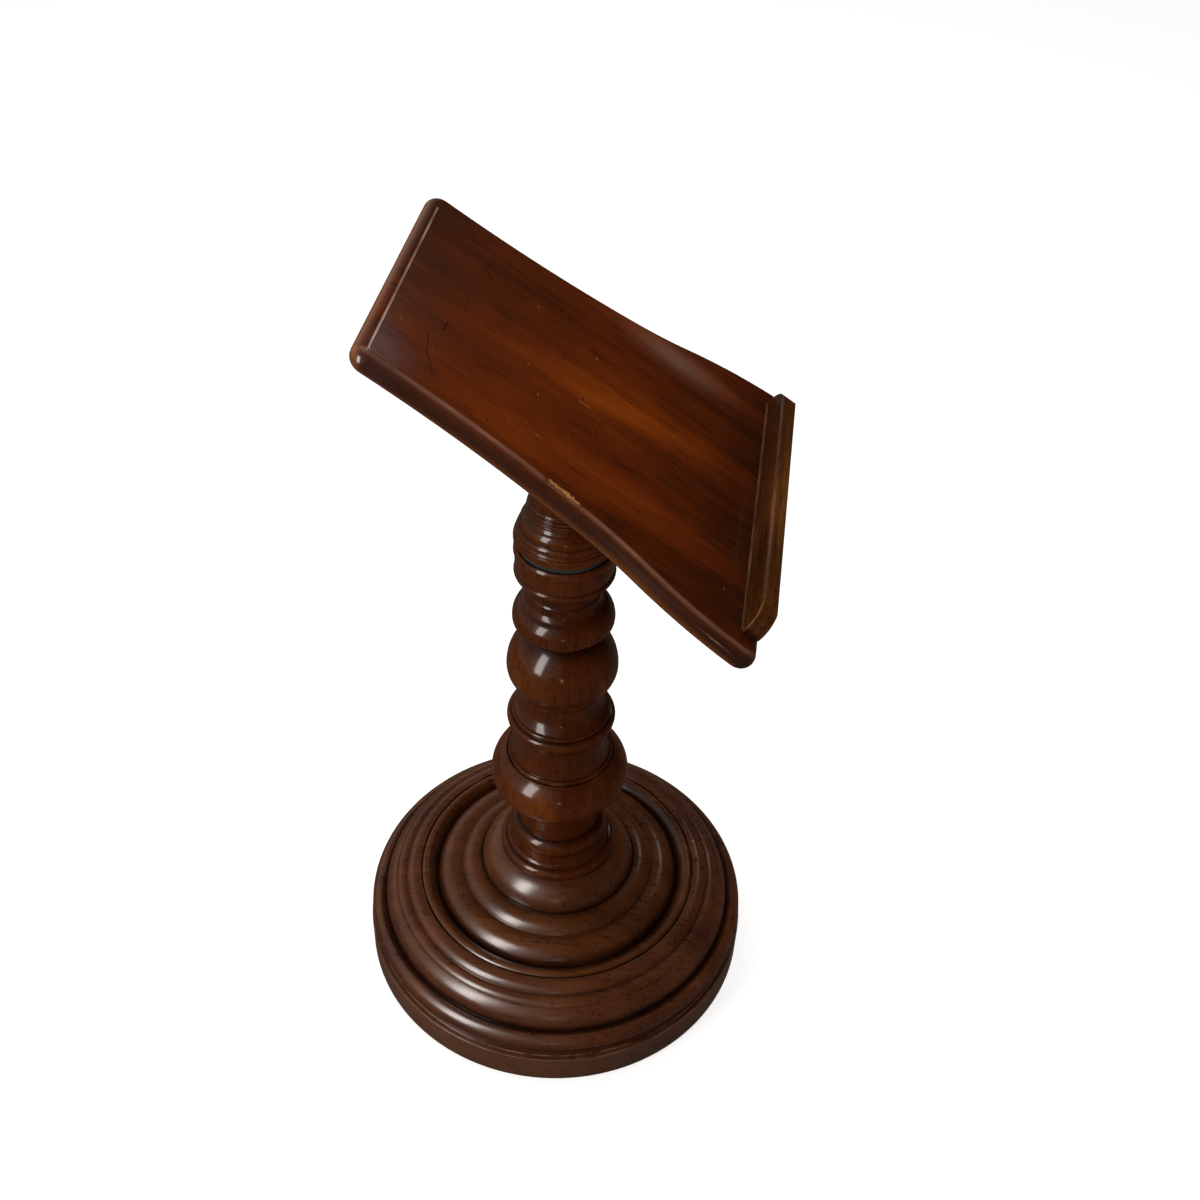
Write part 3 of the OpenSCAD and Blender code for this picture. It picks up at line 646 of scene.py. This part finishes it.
# %% [markdown]
# The rounded edges of the board are told from its flat by the way they face.
# The near side gets a painted sheen, partly a dull bloom where hands have held it. Faces that
# turn up the slope get an amber tone of painted light, and below the depth UNDER, in metres
# from the face, the wood is darkened with painted shade. Two faint grey patches lie on the
# flat: a greyish tint near the upper corner of the near side and a painted reflection near the
# far edge.

# %% Tint the edges with painted sheen, shade and light
UNDER = -0.0052
# The first patch is a greyish tint, the second a painted reflection near the far edge.
PATCHES = ((-0.058, 0.077, 0.010, 0.010, srgb(104, 84, 90), 0.2),
           (0.068, -0.05, 0.008, 0.024, srgb(120, 104, 92), 0.35))


def bloom_and_painted_light(tree, x, y, z, cloudy, colour):
    """Painted sheen, partly bloom, painted shade and amber painted light on the board's edges,
    and its grey patches.
    """
    facing = node(tree, "ShaderNodeSeparateXYZ")
    tree.links.new(node(tree, "ShaderNodeTexCoord").outputs["Normal"], facing.inputs[0])
    outwards = maths(tree, "MULTIPLY", facing.outputs[0], -1.0)
    # Painted sheen on the near edge, partly a dull bloom of handling.
    rim = ramp(tree, outwards, [(0.06, 0.0), (0.32, 1.0), (0.62, 0.15)])
    rim = maths(tree, "MULTIPLY", rim, cloudy)
    colour = mix(tree, colour, srgb(150, 112, 94), maths(tree, "MULTIPLY", rim, 0.6))
    # Painted shade on the lower half of the edge and the underside.
    below = maths(tree, "MAXIMUM", ramp(tree, outwards, [(0.5, 0.0), (0.95, 1.0)]),
                  maths(tree, "LESS_THAN", z, UNDER))
    colour = mix(tree, colour, srgb(38, 14, 6), maths(tree, "MULTIPLY", below, 0.7))
    # Painted light: an amber tone on the faces that turn up the slope.
    amber = ramp(tree, facing.outputs[1], [(0.1, 0.0), (0.5, 1.0)])
    colour = mix(tree, colour, srgb(128, 74, 26), maths(tree, "MULTIPLY", amber, 0.55))
    # Grey patches on the flat, one of them a painted reflection.
    for cx, cy, wide, long, tint, share in PATCHES:
        patch = maths(tree, "MULTIPLY", hump(tree, x, cx, wide), hump(tree, y, cy, long))
        colour = mix(tree, colour, tint, maths(tree, "MULTIPLY", patch, share))
    return colour


# %% [markdown]
# The chip has a torn outline. A noise shifts the coordinates before the stroke
# is drawn, so the same short line comes out ragged. All strokes end at the depth
# TOP, so that none of them shows on the underside.

# %% Draw all marks on the board
TOP = -0.003
TORN = 0.0045


def ragged(tree, coords):
    """Coordinates shifted a little along x and y by a noise."""
    torn = node(tree, "ShaderNodeTexNoise", Scale=420.0, Detail=3.0)
    tree.links.new(coords, torn.inputs["Vector"])
    offset = node(tree, "ShaderNodeVectorMath", operation="MULTIPLY_ADD")
    tree.links.new(torn.outputs["Color"], offset.inputs[0])
    offset.inputs[1].default_value = (TORN, TORN, 0)
    offset.inputs[2].default_value = (-TORN / 2, -TORN / 2, 0)
    moved = node(tree, "ShaderNodeVectorMath", operation="ADD")
    tree.links.new(coords, moved.inputs[0])
    tree.links.new(offset.outputs[0], moved.inputs[1])
    return moved.outputs[0]


def board_marks(tree, coords, colour):
    """Adds the painted light of the edges, scratches, nicks, the chip and the pale lines of
    dust and painted highlight.
    """
    flat = placed(tree, coords, scale=(1, 1, 0))
    split = node(tree, "ShaderNodeSeparateXYZ")
    tree.links.new(coords, split.inputs[0])
    x, y, z = split.outputs
    top = maths(tree, "GREATER_THAN", z, TOP)
    cloudy = ramp(tree, noise(tree, placed(tree, coords, scale=(1, 0.3, 1)), 60, 4, 0.6),
                  [(0.35, 0.35), (0.65, 1.0)])
    colour = bloom_and_painted_light(tree, x, y, z, cloudy, colour)
    for kind, (tint, share) in STROKE_TINTS.items():
        total = 0.0
        for line in STROKES[kind]:
            total = maths(tree, "MAXIMUM", total, stroke(tree, flat, *line))
        total = maths(tree, "MULTIPLY", maths(tree, "MULTIPLY", total, top), share)
        colour = mix(tree, colour, tint, total)
    uneven = ragged(tree, flat)
    for line, tint, share in CHIP:
        chip = maths(tree, "MULTIPLY", stroke(tree, uneven, *line), top)
        colour = mix(tree, colour, tint, maths(tree, "MULTIPLY", chip, share))
    # The pale lines: dust and painted highlight at the ledge, painted highlight along the upper
    # border.
    patchy = maths(tree, "MULTIPLY", cloudy, top)
    for line, tint in ((LEDGE_DUST_AND_GLINT, srgb(150, 122, 92)), (PAINTED_BORDER_HIGHLIGHT, srgb(170, 152, 138))):
        pale = maths(tree, "MULTIPLY", stroke(tree, flat, *line), patchy)
        colour = mix(tree, colour, tint, maths(tree, "MULTIPLY", pale, 0.6))
    return colour


# %% [markdown]
# The ledge is a separate rail. Its fibres run along it, and its stain is a
# little greyer and more streaked than that of the board.

# %% Finish the board and the ledge


def rail_tone(tree, coords):
    """Fibres that run along the rail."""
    return wood_tone(tree, placed(tree, coords, (0.2, 0.1, 0)), (0.06, 1, 1), 1.4)


board_wood = polished_wood("board_wood", srgb(49, 18, 2), srgb(85, 32, 2),
                           srgb(114, 50, 3), srgb(30, 8, 3), srgb(150, 92, 48),
                           board_tone, place=BOARD_PLACE, wax_and_shade=0.5, marks=board_marks)
ledge_wood = polished_wood("ledge_wood", srgb(38, 18, 5), srgb(64, 34, 10),
                           srgb(104, 62, 22), GLAZE, srgb(150, 96, 52),
                           rail_tone, place=BOARD_PLACE, wax_and_shade=0.5)
print("woods:", [w.name for w in (column_wood, boss_wood, moulding_wood, plinth_dust_and_sheen_wood,
                                  board_wood, ledge_wood)])

# %% [markdown]
# ## A board with a true half-round edge
# The board is one plank. Each side swells out from the lower corner, sweeps in
# and runs up nearly straight, and a half round goes all the way round the edge.
# The frame's solid is a little wider at its foot than the picture shows, so the
# visible plank is made here. Its outline could be a list of points, but every
# stretch of it is an arc, and a vertex spun round the centre of an arc draws
# that arc exactly. One half is drawn, mirrored, filled, made as thick as the
# plank, and bevelled by half that thickness.

# %% Helpers that draw the outline


def way(angle):
    """The direction out of the side of the board at an angle."""
    return Vector((math.cos(angle), math.sin(angle), 0))


def arc_on(shape, tip, centre, turn, steps):
    """Draws an arc on from the tip vertex and gives the new tip."""
    made = bmesh.ops.spin(shape, geom=[tip], cent=centre, axis=(0, 0, 1), dvec=(0, 0, 0),
                          angle=turn, steps=steps, use_duplicate=False)
    return next(g for g in made["geom_last"] if isinstance(g, bmesh.types.BMVert))


def line_on(shape, tip, x, y):
    """Draws a straight edge on from the tip vertex and gives the new tip."""
    made = bmesh.ops.extrude_vert_indiv(shape, verts=[tip])["verts"][0]
    made.co = (x, y, 0)
    return made


# %% [markdown]
# The leans are the angles of the side at the ends of its arcs, from the lower
# corner up. Each arc is as long up the board as its run says.

# %% Draw, thicken and round the board
BOARD_T = 0.011
ROUND = BOARD_T / 2
CORNER = 0.002
LOW, HIGH = -0.1156, 0.089
HALF_WIDTH = 0.0985
LEANS = [math.radians(a) for a in (6.4, 19.1, 10.6, 0)]
SWELL, SWEEP = 0.0511, 0.030
CORNER_STEPS, SIDE_STEPS, ROUND_STEPS = 8, 14, 10
JOIN = 0.00001
shape = bmesh.new()
low_y = LOW + ROUND + CORNER * (1 + math.sin(LEANS[0]))
high_y = HIGH - ROUND - CORNER
low_centre = Vector((HALF_WIDTH - ROUND, low_y, 0)) - CORNER * way(LEANS[0])
tip = bmesh.ops.create_vert(shape, co=(0, LOW, 0))["vert"][0]
tip = line_on(shape, tip, low_centre.x, LOW)
tip = arc_on(shape, tip, low_centre, math.radians(90) + LEANS[0], CORNER_STEPS)
runs = (SWELL, SWEEP, high_y - low_y - SWELL - SWEEP)
for start, end, run in zip(LEANS, LEANS[1:], runs):
    radius = run / (math.sin(end) - math.sin(start)) + ROUND
    tip = arc_on(shape, tip, tip.co - radius * way(start), end - start, SIDE_STEPS)
tip = arc_on(shape, tip, tip.co - (ROUND + CORNER) * way(0), math.radians(90), CORNER_STEPS)
line_on(shape, tip, 0, HIGH)
bmesh.ops.mirror(shape, geom=shape.verts[:] + shape.edges[:], axis="X", merge_dist=JOIN)
bmesh.ops.contextual_create(shape, geom=shape.edges[:])
thick = bmesh.ops.extrude_face_region(shape, geom=shape.faces[:])
bmesh.ops.translate(shape, vec=(0, 0, -BOARD_T),
                    verts=[g for g in thick["geom"] if isinstance(g, bmesh.types.BMVert)])
level = [e for e in shape.edges if abs(e.verts[0].co.z - e.verts[1].co.z) < ROUND]
bmesh.ops.bevel(shape, geom=level, offset=ROUND, offset_type="OFFSET",
                segments=ROUND_STEPS, profile=0.5, affect="EDGES", clamp_overlap=True,
                material=-1)
bmesh.ops.remove_doubles(shape, verts=shape.verts, dist=JOIN)
bmesh.ops.recalc_face_normals(shape, faces=shape.faces)
for face in shape.faces:
    face.smooth = True
print("plank:", len(shape.faces), "faces, closed:", all(e.is_manifold for e in shape.edges))

# %% [markdown]
# The underside has three counterbored holes for the ledge screws and two blind
# ones for the dowels of the head. They are drilled by a Boolean modifier, whose
# result is kept as the plank's own mesh. Each hole is its depth and radius, and
# each bit stands a little proud of the wood, so that it cuts cleanly.

# %% Drill the board and put it in place
PROUD = 0.001
SCREW_Y, SCREW_PITCH = -0.10826, 0.062
SCREW_HEAD, SCREW_SHANK = (0.002, 0.0028), (BOARD_T + PROUD, 0.00132)
DOWEL_Y, DOWEL_X = -0.006, 0.012
DOWEL_HOLE = (0.0075, 0.00402)
HOLES = [(x, SCREW_Y, *hole) for x in (-SCREW_PITCH, 0, SCREW_PITCH)
         for hole in (SCREW_HEAD, SCREW_SHANK)]
HOLES += [(x, DOWEL_Y, *DOWEL_HOLE) for x in (-DOWEL_X, DOWEL_X)]
drills = bmesh.new()
for x, y, depth, radius in HOLES:
    bit = bmesh.ops.create_cone(drills, cap_ends=True, segments=32, radius1=radius,
                                radius2=radius, depth=depth + 2 * PROUD)
    bmesh.ops.translate(drills, vec=(x, y, depth / 2 - PROUD - BOARD_T), verts=bit["verts"])

plank = mesh_object("plank", shape)
bits = mesh_object("bits", drills)
drill = plank.modifiers.new("drill", "BOOLEAN")
drill.operation = "DIFFERENCE"
drill.solver = "EXACT"
drill.use_self = True
drill.object = bits
depsgraph = bpy.context.evaluated_depsgraph_get()
drilled = bpy.data.meshes.new_from_object(plank.evaluated_get(depsgraph))
plank.modifiers.clear()
plank.data = drilled
bpy.data.objects.remove(bits)
drilled.transform(Matrix.Translation((0, 0, BOARD_HEIGHT)) @ Matrix.Rotation(TILT, 4, "X"))
drilled.materials.clear()
drilled.materials.append(board_wood)
plank.modifiers.new("smooth", "NODES").node_group = shaping
plank.modifiers.new("even", "WEIGHTED_NORMAL").keep_sharp = True
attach(plank, "head")
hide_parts("board")
print("plank faces after drilling:", len(drilled.polygons))

# %% [markdown]
# ## Hidden pieces
# Steel, brass, leather and baize sit inside or under the stand. They get plain
# but honest finishes, because the underside and the gap below the head show
# them.

# %% Mix the metals, leather and baize


def brushed(name, colour, rough):
    """Bare metal with faint turning marks."""
    m, tree, out = new_material(name)
    coords = node(tree, "ShaderNodeTexCoord").outputs["Object"]
    marks = noise(tree, placed(tree, coords, scale=(1, 1, 9)), 260, 3, 0.6)
    tone = mix(tree, colour, tuple(c * 0.7 for c in colour[:3]) + (1,), marks)
    shader = node(tree, "ShaderNodeBsdfPrincipled", Metallic=1.0)
    tree.links.new(tone, shader.inputs["Base Color"])
    tree.links.new(ramp(tree, marks, [(0.3, rough * 0.7), (0.7, rough * 1.3)]),
                   shader.inputs["Roughness"])
    tree.links.new(shader.outputs[0], out.inputs["Surface"])
    return m


def cloth(name, colour, dark, scale, rough=0.9):
    """Matt felted or leathery surface with a fine grain."""
    m, tree, out = new_material(name)
    coords = node(tree, "ShaderNodeTexCoord").outputs["Object"]
    grain = noise(tree, coords, scale, 4, 0.7)
    tone = ramp(tree, grain, [(0.35, dark), (0.65, colour)])
    bump = node(tree, "ShaderNodeBump", Strength=0.6, Distance=0.0005)
    tree.links.new(grain, bump.inputs["Height"])
    shader = node(tree, "ShaderNodeBsdfPrincipled", Roughness=rough, Sheen_Weight=0.3)
    tree.links.new(tone, shader.inputs["Base Color"])
    tree.links.new(bump.outputs[0], shader.inputs["Normal"])
    tree.links.new(shader.outputs[0], out.inputs["Surface"])
    return m


steel = brushed("steel", (0.55, 0.56, 0.58, 1), 0.3)
brass = brushed("brass", (0.62, 0.43, 0.17, 1), 0.28)
leather = cloth("leather", srgb(22, 13, 9), srgb(12, 7, 5), 500, 0.7)
baize = cloth("baize", srgb(38, 74, 44), srgb(24, 50, 30), 900)
beech = polished_wood("beech", srgb(180, 140, 95), srgb(205, 165, 120),
                      srgb(220, 185, 140), srgb(120, 85, 55), srgb(225, 195, 150),
                      upright, polish=0.5)

# %% [markdown]
# ## Who wears what
# Each node of the frame gets its finish by its name. The board's own solid is
# dressed too, though the plank stands in for it.

# %% Give every piece its finish
FINISHES = {
    "felt_pad": baize, "base_plinth": plinth_dust_and_sheen_wood, "base_moulding": moulding_wood,
    "base_boss": boss_wood, "base_screws": steel, "tie_rod": steel,
    "tie_washer": steel, "tie_nut": steel, "rod_insert": brass,
    "column_foot": column_wood, "column_middle": column_wood,
    "column_top": column_wood, "swivel_bush": brass, "swivel_washer": leather,
    "spring_washer": steel, "swivel_bolt": steel, "head_insert": brass,
    "head": column_wood, "head_dowels": beech, "board": board_wood,
    "ledge": ledge_wood, "ledge_screws": steel,
}
for name, obj in nodes.items():
    obj.data.materials.clear()
    obj.data.materials.append(FINISHES[name])
print("finished:", len(FINISHES))
